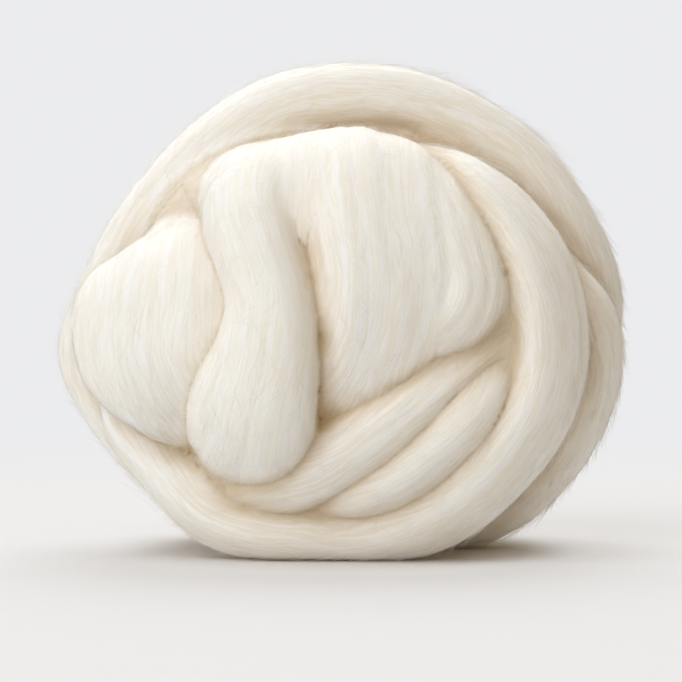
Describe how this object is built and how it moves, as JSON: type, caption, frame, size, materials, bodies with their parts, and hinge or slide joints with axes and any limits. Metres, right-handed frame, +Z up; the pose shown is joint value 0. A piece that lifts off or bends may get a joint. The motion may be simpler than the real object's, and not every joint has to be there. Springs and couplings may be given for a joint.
{
  "type": "wool roving ball",
  "caption": "Soft strand of combed ivory wool wound on itself into a loose ball, with broad folds framed by long turns, for spinning or felting.",
  "frame": {"origin": "under the ball's middle, on the surface that it rests on", "axes": "+X to the ball's right as seen from the front, -Y towards the front with its broad folds, +Z up"},
  "size_m": [0.1518, 0.1304, 0.13],
  "materials": {
    "wool": "soft undyed ivory wool, combed fibres lying along the strand"
  },
  "bodies": {
    "root": {"roving_ball": "wool"}
  },
  "joints": []
}
